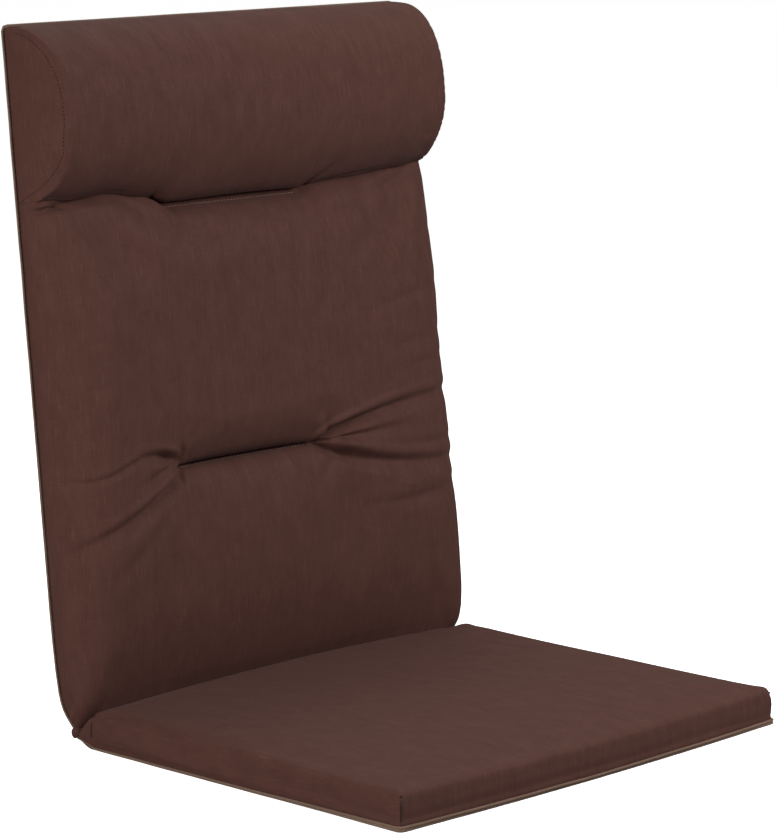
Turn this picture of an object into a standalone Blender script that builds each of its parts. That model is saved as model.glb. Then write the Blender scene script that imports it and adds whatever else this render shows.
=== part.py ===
"""High back chair cushion: a filled seat length and a filled back length that meet at a sewn fold, a
half-round head roll across the top of the back, and a folded tape bound round the edge of the under panel.

Metres, +Z up, front towards -Y. The seat lies flat on the ground, and the back stands up from its rear end
and leans rearwards. The origin is the middle of the seat's flat underside.

Every pad starts as a box cut into rows. Its X runs across the cushion, its Y along the cushion away from
the seat's front, and its Z out of the under panel, which is the flat outer side of the cushion."""

import math

import bmesh
import bpy
import numpy as np
from mathutils import Matrix, Vector

# Driving dimensions
WIDTH = 0.500
SEAT_LENGTH = 0.379
SEAT_DEEP = 0.034
BACK_DEEP = 0.053
ROLL_DEEP = 0.074
LEAN = math.radians(6.15)
TAPE_TALL = 0.0052
TAPE_THICK = 0.0026
PLAN_CORNER = 0.006

# The back's flat outer side meets the ground line this far behind the seat's middle. Heights up the back
# are measured from that line.
BACK_FOOT = 0.2319
TUFT_AT = 0.2325
HEAD_SEAM = 0.4845
TOP_END = 0.6405

# The two short sewn lines, through the back and at the foot of the head roll: middle and half length.
TUFT_LINE = (-0.027, 0.087)
ROLL_LINE = (-0.016, 0.088)

HALF = WIDTH / 2
DART = SEAT_LENGTH / 2
GAP = 0.0006
ON_EDGE = 1e-6
FAR = 1.0

# The wall of a pad, from the under panel to where the front rounds over. The first two levels lie behind
# the tape. A level's share is its place on the wall above the tape.
TAPE_SPACE = 0.0062
MOST_TAPE_SHARE = 0.64
WALL_LEVELS = {
    # level: (share, outward)
    0: (0.00, -0.0012),
    1: (0.00, -0.0012),
    2: (0.12, 0.0002),
    3: (0.55, 0.0008),
    4: (1.00, 0.0000),
}

CLOTH_COLOUR = (0.082, 0.040, 0.034, 1.0)
TAPE_COLOUR = (0.170, 0.115, 0.078, 1.0)


def clear_scene():
    for item in list(bpy.data.objects):
        bpy.data.objects.remove(item, do_unlink=True)


def new_collection(name):
    collection = bpy.data.collections.new(name)
    bpy.context.scene.collection.children.link(collection)
    return collection


def cloth_material(name, colour, roughness):
    material = bpy.data.materials.new(name)
    material.use_nodes = True
    shader = material.node_tree.nodes["Principled BSDF"]
    shader.inputs["Base Color"].default_value = colour
    shader.inputs["Roughness"].default_value = roughness
    shader.inputs["Metallic"].default_value = 0.0
    return material


def side_of(x):
    """-1 on the left half and 1 on the right half."""
    return math.copysign(1.0, x)


def smooth_step(value):
    """0 below 0, 1 above 1 and a soft curve between."""
    held = min(max(value, 0.0), 1.0)
    return held * held * (3 - 2 * held)


def arc_fall(distance, radius):
    """How far a rounded rim falls at this distance in from its edge."""
    if distance >= radius:
        return 0.0
    return radius - math.sqrt(radius**2 - (radius - max(distance, 0.0)) ** 2)


def even_rows(start, end, step):
    count = max(1, round((end - start) / step))
    return [start + (end - start) * i / count for i in range(count + 1)]


def both_rims(low, high, distances):
    """Rows at these distances in from the two ends."""
    return [low + d for d in distances] + [high - d for d in distances]


def rows_from(*groups):
    """All rows of the groups in order, each one once."""
    return sorted({round(row, 5) for group in groups for row in group})


def cut_box(across, along):
    """A box from the first row to the last each way, with a cut at every row and wall level."""
    spans = (across, along, sorted(WALL_LEVELS))
    low = Vector([rows[0] for rows in spans])
    high = Vector([rows[-1] for rows in spans])
    body = bmesh.new()
    bmesh.ops.create_cube(body, size=1.0)
    place = Matrix.Translation((low + high) / 2) @ Matrix.Diagonal(high - low).to_4x4()
    bmesh.ops.transform(body, matrix=place, verts=body.verts)
    for axis, rows in enumerate(spans):
        direction = Vector([float(i == axis) for i in range(3)])
        for row in rows[1:-1]:
            parts = body.verts[:] + body.edges[:] + body.faces[:]
            bmesh.ops.bisect_plane(
                body, geom=parts, plane_co=direction * row, plane_no=direction
            )
    return body


def add_pad(name, collection, material, across, along, shape):
    """A pad from a cut box, whose points the shape moves. Its flat outer side becomes one face."""
    body = cut_box(across, along)
    for vertex in body.verts:
        vertex.co = shape(vertex.co.x, vertex.co.y, round(vertex.co.z))
    outer = [face for face in body.faces if all(v.co.z == 0.0 for v in face.verts)]
    bmesh.ops.dissolve_faces(body, faces=outer, use_verts=True)
    bmesh.ops.recalc_face_normals(body, faces=body.faces)
    mesh = bpy.data.meshes.new(name)
    body.to_mesh(mesh)
    body.free()
    mesh.shade_smooth()
    mesh.set_sharp_from_angle(angle=math.radians(50))
    pad = bpy.data.objects.new(name, mesh)
    pad.data.materials.append(material)
    collection.objects.link(pad)
    return pad


def wall_point(level, top):
    """Height on a wall and how far it stands out, for a wall that ends at top."""
    share, outward = WALL_LEVELS[level]
    if level == 0:
        return 0.0, outward
    seam = min(TAPE_SPACE, MOST_TAPE_SHARE * top)
    return seam + (top - seam) * share, outward


def outward_shift(x, y, low, high, outward):
    """Moves a point of the plan's edge out across it by the given distance."""
    if HALF - abs(x) < ON_EDGE:
        x += side_of(x) * outward
    if y - low < ON_EDGE:
        y -= outward
    if high - y < ON_EDGE:
        y += outward
    return x, y


def round_corners(x, y, low, high):
    """Moves a plan point so that the square corners of the plan become round ones."""
    side = min(HALF - abs(x), PLAN_CORNER)
    end = min(y - low, high - y, PLAN_CORNER)
    inner = Vector((PLAN_CORNER - side, PLAN_CORNER - end))
    if inner.x <= 0 or inner.y <= 0:
        return x, y
    shift = inner * (max(inner.x, inner.y) / inner.length - 1)
    towards_high = high - y < y - low
    return x + side_of(x) * shift.x, y + (shift.y if towards_high else -shift.y)


# Seat length: a nearly flat top with rounded rims, a little thicker at the front, where its edge bows forward.
# Behind the darts it narrows to the sewn fold, and its top reaches furthest back at mid width.

SEAT_RIM = 0.008
SEAT_FRONT_RISE = 0.0015
FRONT_BOW = 0.007
SEAT_CROWN = 0.0022
SEAT_REAR_ROLL = 0.007
SEAT_REAR_FALL = 0.0035
SEAT_BOW = 0.020
SEAT_BOW_START = 0.060
FOLD_BEHIND_DART = 0.022
FOLD_HEIGHT = 0.0080
FOLD_THICK = 0.0020
FOLD_DRAWN_IN = 0.004


def how_far_forward(y):
    """0 at the rear darts and 1 at the seat's front."""
    return (DART - y) / SEAT_LENGTH


def front_bow(x):
    return FRONT_BOW * (1 - (x / HALF) ** 2)


def seat_top(x, y):
    side = arc_fall(HALF - abs(x), SEAT_RIM)
    front = arc_fall(y + DART, SEAT_RIM)
    rear = SEAT_REAR_FALL * arc_fall((DART - y) / SEAT_REAR_ROLL, 1.0)
    crown = SEAT_CROWN * (1 - (x / HALF) ** 2) * (1 - (y / DART) ** 2)
    return SEAT_DEEP + SEAT_FRONT_RISE * how_far_forward(y) + crown - max(side, front, rear)


def seat_shape(x, y, level):
    fold = DART + FOLD_BEHIND_DART
    crease = DART + SEAT_BOW * (1 - (x / HALF) ** 2)
    behind = max(0.0, (y - DART) / FOLD_BEHIND_DART)
    if behind > 0:
        top_y = crease + (fold - crease) * behind
    else:
        top_y = y + (crease - DART) * smooth_step(1 + (y - DART) / SEAT_BOW_START)
    height = seat_top(x, min(y, DART))
    top_z = height + (FOLD_HEIGHT + FOLD_THICK / 2 - height) * behind**1.15
    under_z = (FOLD_HEIGHT - FOLD_THICK / 2) * behind**1.4
    rise, outward = wall_point(level, top_z - under_z)
    place_y = y + (top_y - y) * rise / (top_z - under_z)
    place_x, place_y = outward_shift(x, place_y, -DART, FAR, outward * (1 - behind))
    place_x, place_y = round_corners(place_x, place_y, -DART, FAR)
    place_x -= FOLD_DRAWN_IN * behind**2 * x / HALF
    place_y -= front_bow(x) * how_far_forward(min(y, DART)) ** 2
    return Vector((place_x, place_y, under_z + rise))


def add_seat(collection, material):
    rim = (0.0, 0.0015, PLAN_CORNER / 2, PLAN_CORNER, SEAT_RIM)
    across = rows_from(
        both_rims(-HALF, HALF, rim),
        even_rows(-HALF + SEAT_RIM, HALF - SEAT_RIM, 0.037),
    )
    along = rows_from(
        [-DART + d for d in rim],
        even_rows(-DART + SEAT_RIM, DART - 0.045, 0.040),
        [DART - d for d in (0.028, 0.014, 0.006, 0.002)],
        even_rows(DART, DART + FOLD_BEHIND_DART, 0.0055),
    )
    return add_pad("seat_pad", collection, material, across, along, seat_shape)


# Seam between the back and the head roll, which both pads follow.

CREASE_DEEP = 0.0245
CREASE_DRAWN = 0.0105
LINE_TAPER = 0.020
D_PANEL_RISE = 0.0045
D_PANEL_START = 0.210
D_PANEL_REACH = 0.036
SEAM_FULL_AT = 0.030
SEAM_REACH = 0.050

# How far the seam hangs below HEAD_SEAM. It is sewn lowest along the short line, and its two sides differ.
SEAM_HANG = (
    # across, down
    (-0.250, 0.0015),
    (-0.235, 0.0010),
    (-0.218, -0.0005),
    (-0.192, -0.0030),
    (-0.165, -0.0030),
    (-0.144, 0.0012),
    (-0.116, 0.0055),
    (-0.107, 0.0093),
    (-0.098, 0.0145),
    (0.066, 0.0145),
    (0.072, 0.0140),
    (0.084, 0.0100),
    (0.109, 0.0072),
    (0.149, 0.0060),
    (0.175, 0.0038),
    (0.198, 0.0020),
    (0.220, 0.0014),
    (0.250, 0.0014),
)


def between_rows(at, rows):
    """Value in the second column of a table, between the places in its first."""
    places, values = zip(*rows)
    return float(np.interp(at, places, values))


def along_line(x, line, taper):
    """1 beside a short sewn line, falling to 0 over the taper past its ends."""
    middle, half = line
    return 1 - smooth_step((abs(x - middle) - half) / taper)


def seam_shift(x, rise):
    """How far the seam lies from HEAD_SEAM, for a point this far out of the under panel.

    It turns up at both sides round the D-shaped end panels."""
    side = smooth_step((abs(x) - D_PANEL_START) / D_PANEL_REACH)
    reach = min(rise / SEAM_FULL_AT, 1.0)
    return D_PANEL_RISE * side * reach**2 - between_rows(x, SEAM_HANG) * reach


def seam_deep(x):
    """How far out of the under panel the crease under the head roll lies."""
    return CREASE_DEEP - CREASE_DRAWN * along_line(x, ROLL_LINE, LINE_TAPER)


def near_seam(distance):
    return smooth_step(1 - distance / SEAM_REACH)


# Back length: crowned, with soft rounded side edges, drawn in along the line sewn through it.

BACK_RIM = 0.028
BACK_CROWN = 0.004
BACK_TOP_ROLL = 0.036
BACK_TOP_FALL = 0.009
BACK_TOP_FALL_REACH = 0.130
LEFT_AT_TUFT = 0.017
LEFT_AT_TUFT_ENDS = 0.030
TUFT_ABOVE = 0.030
TUFT_BELOW = 0.026
TUFT_END = 0.006
TUFT_TAPER_LEFT = 0.026
TUFT_TAPER_RIGHT = 0.040

# How far each side of the front stands out past the under panel.
SIDE_BULGE = (
    # up, out
    (0.0085, 0.0000),
    (0.0300, 0.0050),
    (0.0600, 0.0066),
    (0.2000, 0.0066),
    (0.2600, 0.0034),
    (0.3400, 0.0010),
    (0.4200, -0.0015),
    (0.4845, -0.0015),
)

# Rows of the lower end of the back. Each row is measured up the back, and gives how far the outer side
# curls in towards the fold, and how deep the front stands at mid width and at the side edges.
FOLD_ROWS = (
    # up, outer side, front at mid width, front at the sides
    (0.0085, 0.0170, 0.0203, 0.0203),
    (0.0150, 0.0125, 0.0205, 0.0295),
    (0.0220, 0.0085, 0.0207, 0.0370),
    (0.0300, 0.0060, 0.0215, 0.0440),
    (0.0430, 0.0036, 0.0300, 0.0495),
    (0.0620, 0.0018, 0.0390, 0.0525),
    (0.0850, 0.0006, 0.0458, 0.0528),
    (0.1150, 0.0000, 0.0507, 0.0530),
    (0.1500, 0.0000, 0.0530, 0.0530),
)
FOLD_END = FOLD_ROWS[0][0]
FLAT_FROM = FOLD_ROWS[-1][0]

# Folds drawn in by the ends of the line sewn through the back. A fold runs as a smooth curve through four
# places, each across and up the back. Its depth is at its first place, and a negative one stands up.
FOLDS = (
    # start, first bend, second bend, end, half width, depth, share of the depth left at the end
    ((-0.119, 0.233), (-0.125, 0.243), (-0.140, 0.250), (-0.172, 0.248), 0.009, 0.013, 0.22),
    ((-0.160, 0.249), (-0.196, 0.248), (-0.204, 0.225), (-0.240, 0.234), 0.008, 0.003, 0.30),
    ((-0.117, 0.231), (-0.136, 0.219), (-0.166, 0.197), (-0.236, 0.178), 0.012, 0.013, 0.10),
    ((-0.122, 0.230), (-0.142, 0.224), (-0.164, 0.208), (-0.200, 0.196), 0.008, -0.003, 0.30),
    ((0.058, 0.235), (0.085, 0.250), (0.150, 0.261), (0.232, 0.264), 0.012, 0.016, 0.10),
    ((0.060, 0.234), (0.088, 0.234), (0.120, 0.236), (0.168, 0.237), 0.009, 0.011, 0.10),
    ((0.058, 0.231), (0.085, 0.220), (0.130, 0.195), (0.232, 0.196), 0.013, 0.016, 0.10),
    ((0.108, 0.166), (0.150, 0.164), (0.190, 0.160), (0.236, 0.174), 0.013, 0.002, 0.60),
)
FOLD_STEPS = 12


def bezier(places, t):
    a, b, c, d = (Vector(place) for place in places)
    s = 1 - t
    return a * s**3 + b * (3 * s * s * t) + c * (3 * s * t * t) + d * t**3


def traced_folds():
    """Each fold as points along its curve, with its half width and its depth at each point."""
    steps = [i / FOLD_STEPS for i in range(FOLD_STEPS + 1)]
    traced = []
    for *places, half_width, depth, left in FOLDS:
        points = np.array([bezier(places, t) for t in steps])
        depths = [depth * (1 - (1 - left) * t) for t in steps]
        traced.append((points, half_width, depths))
    return traced


def tuft_depth(x, y):
    """The channel where the front is sewn down to the under panel: a sharp valley, then a soft hollow."""
    near_line = along_line(x, TUFT_LINE, TUFT_TAPER_LEFT if x < 0 else TUFT_TAPER_RIGHT)
    half_width = TUFT_ABOVE if y > TUFT_AT else TUFT_BELOW
    half_width *= 0.5 + 0.5 * near_line
    apart = min(1.0, abs(y - TUFT_AT) / half_width)
    valley = arc_fall(apart, 1.0) ** 1.15
    hollow = 0.55 * (1 - apart**2) ** 2
    sewn = along_line(x, TUFT_LINE, TUFT_END)
    across = sewn * valley + (1 - sewn) * hollow
    towards_end = min(1.0, abs(x - TUFT_LINE[0]) / TUFT_LINE[1]) ** 3
    left = LEFT_AT_TUFT + (LEFT_AT_TUFT_ENDS - LEFT_AT_TUFT) * towards_end
    return (BACK_DEEP - left) * across * near_line


def drawn_depth(x, y, traced):
    """How far the sewn line and the folds that leave its ends draw the front in."""
    valley = tuft_depth(x, y)
    ridge = 0.0
    for points, half_width, depths in traced:
        apart = np.hypot(points[:, 0] - x, points[:, 1] - y)
        nearest = int(apart.argmin())
        reach = max(0.0, 1 - (apart[nearest] / half_width) ** 2) ** 2
        valley = max(valley, depths[nearest] * reach)
        ridge = max(ridge, -depths[nearest] * reach)
    return valley - ridge


def fold_profile(x, y):
    """Outer side and front of the back at this place, before its crown and its folds."""
    ups, outers, middles, sides = zip(*FOLD_ROWS)
    outer, middle, side = (float(np.interp(y, ups, deeps)) for deeps in (outers, middles, sides))
    return outer, middle + (side - middle) * abs(x / HALF) ** 3


def back_front(x, y, front, traced):
    full = min(1.0, front / BACK_DEEP)
    below_seam = HEAD_SEAM - y
    crown = BACK_CROWN * (1 - (x / HALF) ** 2) * smooth_step((y - 0.06) / 0.10)
    side = arc_fall(HALF - abs(x), BACK_RIM) * full**1.5
    sloped = BACK_TOP_FALL * smooth_step(1 - below_seam / BACK_TOP_FALL_REACH) * (x / HALF) ** 2
    top = front + crown - side - sloped - drawn_depth(x, y, traced) * full
    return top + (seam_deep(x) - top) * arc_fall(below_seam / BACK_TOP_ROLL, 1.0)


def add_back(collection, material):
    traced = traced_folds()

    def shape(x, y, level):
        outer, front = fold_profile(x, y)
        rise, outward = wall_point(level, back_front(x, y, front, traced) - outer)
        below_seam = HEAD_SEAM - y
        place_y = y + seam_shift(x, rise) * near_seam(below_seam)
        place_y -= GAP * smooth_step(1 - below_seam / 0.012)
        place_x, _ = outward_shift(x, y, -FAR, FAR, outward * front / BACK_DEEP)
        narrow = 1 - smooth_step((y - FOLD_END) / 0.030)
        place_x -= FOLD_DRAWN_IN * narrow * x / HALF
        place_x += between_rows(y, SIDE_BULGE) * x / HALF * rise / BACK_DEEP
        return Vector((place_x, place_y, outer + rise))

    along = rows_from(
        [row[0] for row in FOLD_ROWS],
        even_rows(FLAT_FROM, 0.206, 0.0075),
        both_rims(TUFT_AT, TUFT_AT, (0.0, 0.002, 0.006, 0.012, 0.019, 0.027)),
        even_rows(0.2595, 0.284, 0.0075),
        even_rows(0.284, HEAD_SEAM - 0.040, 0.022),
        [HEAD_SEAM - d for d in (0.028, 0.018, 0.010, 0.005, 0.002, 0.0)],
    )
    return add_pad("back_pad", collection, material, columns_across(), along, shape)


def columns_across():
    """Rows across the back and the head roll, closest where the folds are."""
    left_end, right_end = (TUFT_LINE[0] + way * TUFT_LINE[1] for way in (-1, 1))
    return rows_from(
        both_rims(-HALF, HALF, (0.0, 0.0015, 0.006, 0.014, BACK_RIM)),
        even_rows(-HALF + BACK_RIM, left_end, 0.0085),
        [left_end + TUFT_END, right_end - TUFT_END],
        even_rows(left_end + 2 * TUFT_END, right_end - 2 * TUFT_END, 0.022),
        even_rows(right_end, HALF - BACK_RIM, 0.0095),
    )


# Head roll: half round, with flat D-shaped ends, drawn in at its foot along a short sewn line.

ROLL_MIDDLE = (HEAD_SEAM + TOP_END) / 2
ROLL_HALF = (TOP_END - HEAD_SEAM) / 2
ROLL_RIM = 0.004
ROLL_TOP_DEEP = 0.011
ROLL_CROWN = 0.002
ROLL_SQUARENESS = 2.15
ROLL_DRAWN_IN = 0.028
ROLL_FOOT_DRAWN_IN = 0.020
ROLL_STEPS = 18


def roll_front(x, y):
    """Depth of the roll: round in section, fullest at mid width."""
    turn = (y - ROLL_MIDDLE) / ROLL_HALF
    start = seam_deep(x) if turn < 0 else ROLL_TOP_DEEP
    full = ROLL_DEEP + ROLL_CROWN * (1 - (x / HALF) ** 2)
    deep = start + (full - start) * math.sqrt(max(0.0, 1 - abs(turn) ** ROLL_SQUARENESS))
    side = arc_fall(HALF - abs(x), ROLL_RIM) * smooth_step((y - HEAD_SEAM) / 0.012)
    return deep - side * min(1.0, deep / 0.030)


def roll_shape(x, y, level):
    rise, outward = wall_point(level, roll_front(x, y))
    above_seam = y - HEAD_SEAM
    place_y = y + seam_shift(x, rise) * near_seam(above_seam)
    if above_seam < ON_EDGE:
        place_y += GAP
    place_x, place_y = outward_shift(x, place_y, -FAR, TOP_END, outward)
    place_x, place_y = round_corners(place_x, place_y, -FAR, TOP_END)
    foot = ROLL_FOOT_DRAWN_IN * smooth_step(1 - above_seam / 0.060) * rise / ROLL_DEEP
    place_x *= 1 - ROLL_DRAWN_IN * (rise / ROLL_DEEP) ** 2 - foot
    return Vector((place_x, place_y, rise))


def add_roll(collection, material):
    turns = [math.cos(math.pi * i / ROLL_STEPS) for i in range(ROLL_STEPS + 1)]
    along = rows_from([ROLL_MIDDLE - ROLL_HALF * turn for turn in turns])
    return add_pad("head_roll", collection, material, columns_across(), along, roll_shape)


# Binding: one folded tape, sewn round the edge of the under panel.

TAPE_OUT = TAPE_THICK / 2 - 0.0007
TAPE_LIFT = TAPE_TALL / 2 + 0.0003
TAPE_STEP = 0.050
TAPE_CORNER_STEPS = 5
TAPE_SIDES = 8


def tape_corner(middle_x, middle_y, start_angle):
    """Plan places round a corner of the tape, a quarter turn from the start angle."""
    radius = PLAN_CORNER + TAPE_OUT
    places = []
    for step in range(TAPE_CORNER_STEPS + 1):
        angle = start_angle + math.pi / 2 * step / TAPE_CORNER_STEPS
        places.append((middle_x + radius * math.cos(angle), middle_y + radius * math.sin(angle)))
    return places


def right_half_of_tape(back_frame):
    """Points of the tape's middle line with its size there, from the seat's front round to the top."""
    out = HALF + TAPE_OUT
    inner = HALF - PLAN_CORNER
    seat = [(x, -DART - TAPE_OUT - front_bow(x)) for x in even_rows(0.0, inner, TAPE_STEP)[1:-1]]
    seat += tape_corner(inner, -DART + PLAN_CORNER, -math.pi / 2)
    seat += [(out, y) for y in even_rows(-DART + PLAN_CORNER, DART - 0.012, TAPE_STEP)[1:]]
    points = [(Vector((x, y, TAPE_LIFT)), 1.0) for x, y in seat]

    # The tape narrows where it turns in behind the dart, and again where it leaves the fold.
    points.append((Vector((out, DART, TAPE_LIFT)), 0.85))
    points.append((Vector((out, DART + 0.012, TAPE_LIFT + 0.0014)), 0.55))
    points.append((back_frame @ Vector((out - 0.003, 0.0100, 0.0205)), 0.45))
    points.append((back_frame @ Vector((out, 0.0200, 0.0115)), 0.55))
    for up, outer, _, _ in FOLD_ROWS[3:]:
        points.append((back_frame @ Vector((out, up, outer + TAPE_LIFT)), 0.9))

    back = [(out, up) for up in even_rows(FLAT_FROM, TOP_END - PLAN_CORNER, TAPE_STEP)[1:-1]]
    back += tape_corner(inner, TOP_END - PLAN_CORNER, 0.0)
    back += [(x, TOP_END + TAPE_OUT) for x in even_rows(inner, 0.0, TAPE_STEP)[1:-1]]
    return points + [(back_frame @ Vector((x, up, TAPE_LIFT)), 1.0) for x, up in back]


def tape_section(guides):
    """Outline of the tape across its length: an oval, taller than it is thick."""
    section = bpy.data.curves.new("tape_section", "CURVE")
    outline = section.splines.new("POLY")
    outline.points.add(TAPE_SIDES - 1)
    for i, point in enumerate(outline.points):
        angle = -2 * math.pi * (i + 0.5) / TAPE_SIDES
        point.co = (TAPE_THICK / 2 * math.cos(angle), TAPE_TALL / 2 * math.sin(angle), 0, 1)
    outline.use_cyclic_u = True
    guide = bpy.data.objects.new("tape_section", section)
    guide.hide_render = True
    guide.display_type = "WIRE"
    guides.objects.link(guide)
    return guide


def add_tape(collection, guides, material, back_frame):
    half = right_half_of_tape(back_frame)
    path = half + [(Vector((-p.x, p.y, p.z)), size) for p, size in reversed(half)]
    curve = bpy.data.curves.new("edge_binding", "CURVE")
    curve.dimensions = "3D"
    curve.twist_mode = "MINIMUM"
    curve.bevel_mode = "OBJECT"
    curve.bevel_object = tape_section(guides)
    spline = curve.splines.new("POLY")
    spline.points.add(len(path) - 1)
    for point, (place, size) in zip(spline.points, path):
        point.co = (*place, 1)
        point.radius = size
    spline.use_cyclic_u = True
    curve.materials.append(material)
    tape = bpy.data.objects.new("edge_binding", curve)
    collection.objects.link(tape)
    return tape


def build():
    clear_scene()
    cushion = new_collection("high_back_chair_cushion")
    guides = new_collection("guides")
    cloth = cloth_material("brown_cloth", CLOTH_COLOUR, 0.75)
    tape_cloth = cloth_material("taupe_tape", TAPE_COLOUR, 0.80)

    back_rest = bpy.data.objects.new("back_rest", None)
    back_rest.location = (0, BACK_FOOT, 0)
    back_rest.rotation_euler = (math.pi / 2 - LEAN, 0, 0)
    cushion.objects.link(back_rest)
    bpy.context.view_layer.update()

    add_seat(cushion, cloth)
    for pad in (add_back(cushion, cloth), add_roll(cushion, cloth)):
        pad.parent = back_rest
    add_tape(cushion, guides, tape_cloth, back_rest.matrix_world)


build()
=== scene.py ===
import math

import bpy
import numpy as np
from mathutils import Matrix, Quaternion, Vector
from mathutils.bvhtree import BVHTree


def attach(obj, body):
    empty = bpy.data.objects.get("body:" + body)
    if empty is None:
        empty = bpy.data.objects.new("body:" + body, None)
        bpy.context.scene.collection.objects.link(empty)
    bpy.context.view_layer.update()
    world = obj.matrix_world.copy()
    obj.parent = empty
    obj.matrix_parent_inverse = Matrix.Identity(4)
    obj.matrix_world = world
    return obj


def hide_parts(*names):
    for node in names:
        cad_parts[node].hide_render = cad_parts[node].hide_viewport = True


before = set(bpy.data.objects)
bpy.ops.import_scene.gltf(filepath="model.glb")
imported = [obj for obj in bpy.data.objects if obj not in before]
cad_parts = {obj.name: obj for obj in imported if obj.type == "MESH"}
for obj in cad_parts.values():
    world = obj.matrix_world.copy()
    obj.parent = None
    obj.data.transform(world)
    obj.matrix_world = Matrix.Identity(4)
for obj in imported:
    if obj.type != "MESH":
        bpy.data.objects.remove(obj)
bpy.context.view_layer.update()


# Stage. The camera stands at the cushion's left, well back and a little above it, with a long lens. The
# floor is plain and pale. Soft lights stand in front, at the right and low at the left, and one hangs behind.

CAMERA_LENS = 161.66
CAMERA_PLACE = (-2.4263, -2.2337, 0.8727)
CAMERA_TARGET = (0.0470, 0.1079, 0.2735)
CAMERA_TILT = 0.28
FLOOR_REACH = 40
LIT_MIDDLE = (0, 0.1, 0.2)
SOFT_LIGHTS = (
    # name, place, size, watts
    ("front_right_light", (0.95, -1.2, 1.3), 0.9, 22),
    ("front_light", (0.2, -1.7, 1.3), 1.2, 10),
    ("high_rear_light", (0.5, 0.8, 2.3), 0.8, 18),
    ("low_left_light", (-2.4, -0.2, 0.7), 1.2, 42),
)


def new_object(name, data):
    made = bpy.data.objects.new(name, data)
    bpy.context.scene.collection.objects.link(made)
    return made


def stand(thing, place, target, tilt=0.0):
    """Stands a camera or a light at its place, turned to its target."""
    thing.location = place
    turn = (Vector(target) - Vector(place)).to_track_quat("-Z", "Y")
    thing.rotation_euler = (turn @ Quaternion((0, 0, 1), math.radians(tilt))).to_euler()


camera = new_object("camera", bpy.data.cameras.new("camera"))
camera.data.lens = CAMERA_LENS
camera.data.sensor_width = 36
stand(camera, CAMERA_PLACE, CAMERA_TARGET, CAMERA_TILT)
bpy.context.scene.camera = camera

for name, place, size, watts in SOFT_LIGHTS:
    light = new_object(name, bpy.data.lights.new(name, "AREA"))
    light.data.shape = "SQUARE"
    light.data.size = size
    light.data.energy = watts
    stand(light, place, LIT_MIDDLE)

world = bpy.data.worlds.new("white_room")
bpy.context.scene.world = world
world.use_nodes = True
world.node_tree.nodes["Background"].inputs["Color"].default_value = (1, 1, 1, 1)
world.node_tree.nodes["Background"].inputs["Strength"].default_value = 0.10
bpy.context.scene.view_settings.view_transform = "Standard"


def feed(tree, socket, value):
    """Links a node's input to an output, or gives it a constant."""
    if isinstance(value, bpy.types.NodeSocket):
        tree.links.new(value, socket)
    else:
        socket.default_value = value


def add_node(tree, kind, *values, **named):
    """A node with values for its first inputs in order, and for its settings and other inputs by name."""
    node = tree.nodes.new(kind)
    node.location = (200 * len(tree.nodes), -300)
    for name, value in named.items():
        if hasattr(node, name):
            setattr(node, name, value)
        else:
            feed(tree, node.inputs[name], value)
    for socket, value in zip(node.inputs, values):
        feed(tree, socket, value)
    return node


def worked_out(tree, operation, *values, **named):
    return add_node(tree, "ShaderNodeMath", *values, operation=operation, **named).outputs[0]


def mixed(tree, share, first, second):
    """The colour between two, at this share of the way to the second."""
    node = add_node(tree, "ShaderNodeMix", share, data_type="RGBA")
    feed(tree, node.inputs[6], first)
    feed(tree, node.inputs[7], second)
    return node.outputs[2]


def new_material(name, constants):
    """A material with these constants on its shader, and the tree to add its nodes to."""
    material = bpy.data.materials.new(name)
    material.use_nodes = True
    shader = material.node_tree.nodes["Principled BSDF"]
    for label, value in constants.items():
        shader.inputs[label].default_value = value
    return material, material.node_tree, shader.inputs


# The floor looks pale, but throws only a little light back up at the cushion.
floor_mesh = bpy.data.meshes.new("floor")
corners = [(x * FLOOR_REACH, y * FLOOR_REACH, 0) for x, y in ((-1, -1), (1, -1), (1, 1), (-1, 1))]
floor_mesh.from_pydata(corners, [], [(0, 1, 2, 3)])
pale_floor, tree, shader = new_material(
    "pale_floor", {"Roughness": 0.9, "Specular IOR Level": 0.0, "Emission Color": (1, 1, 1, 1)}
)
seen = add_node(tree, "ShaderNodeLightPath").outputs["Is Camera Ray"]
feed(tree, shader["Base Color"], mixed(tree, seen, (0.30, 0.30, 0.30, 1), (0.93, 0.93, 0.93, 1)))
feed(tree, shader["Emission Strength"], worked_out(tree, "MULTIPLY", seen, 0.90))
floor_mesh.materials.append(pale_floor)
new_object("floor", floor_mesh)


# Seat pad. A flat pad of foam and fibre in a cover of slubbed cotton, cut in one piece with the back. Its
# cloth rolls over the top edge without a seam, and a short dart closes each corner. Behind the rear darts
# the cover narrows to the fold that it shares with the back.

HALF = 0.250
SEAT_LENGTH = 0.379
SEAT_DEEP = 0.034
DART = SEAT_LENGTH / 2
SEAT_RIM = 0.008
SEAT_FRONT_RISE = 0.0015
FRONT_BOW = 0.007
SEAT_CROWN = 0.0022
SEAT_REAR_ROLL = 0.007
SEAT_REAR_FALL = 0.0035
SEAT_BOW = 0.020
SEAT_BOW_START = 0.060
FOLD_BEHIND_DART = 0.022
FOLD_HEIGHT = 0.0080
FOLD_THICK = 0.0020
FOLD_DRAWN_IN = 0.004
PLAN_CORNER = 0.004
TAPE_SPACE = 0.0056
MOST_TAPE_SHARE = 0.64
FAR = 1.0


def smooth_step(value):
    """0 below 0, 1 above 1 and a soft curve between."""
    held = np.clip(value, 0, 1)
    return held * held * (3 - 2 * held)


def arc_fall(distance, radius):
    """How far a rounded rim falls at this distance in from its edge."""
    return radius - np.sqrt(radius**2 - (radius - np.clip(distance, 0, radius)) ** 2)


def rim_rows(radius, count):
    """Distances in from an edge at even steps round its rim."""
    turns = np.linspace(0, math.pi / 2, count + 1)
    return radius * (1 - np.cos(turns))


def rows_between(start, end, step):
    return np.linspace(start, end, max(1, round((end - start) / step)) + 1)


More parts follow.
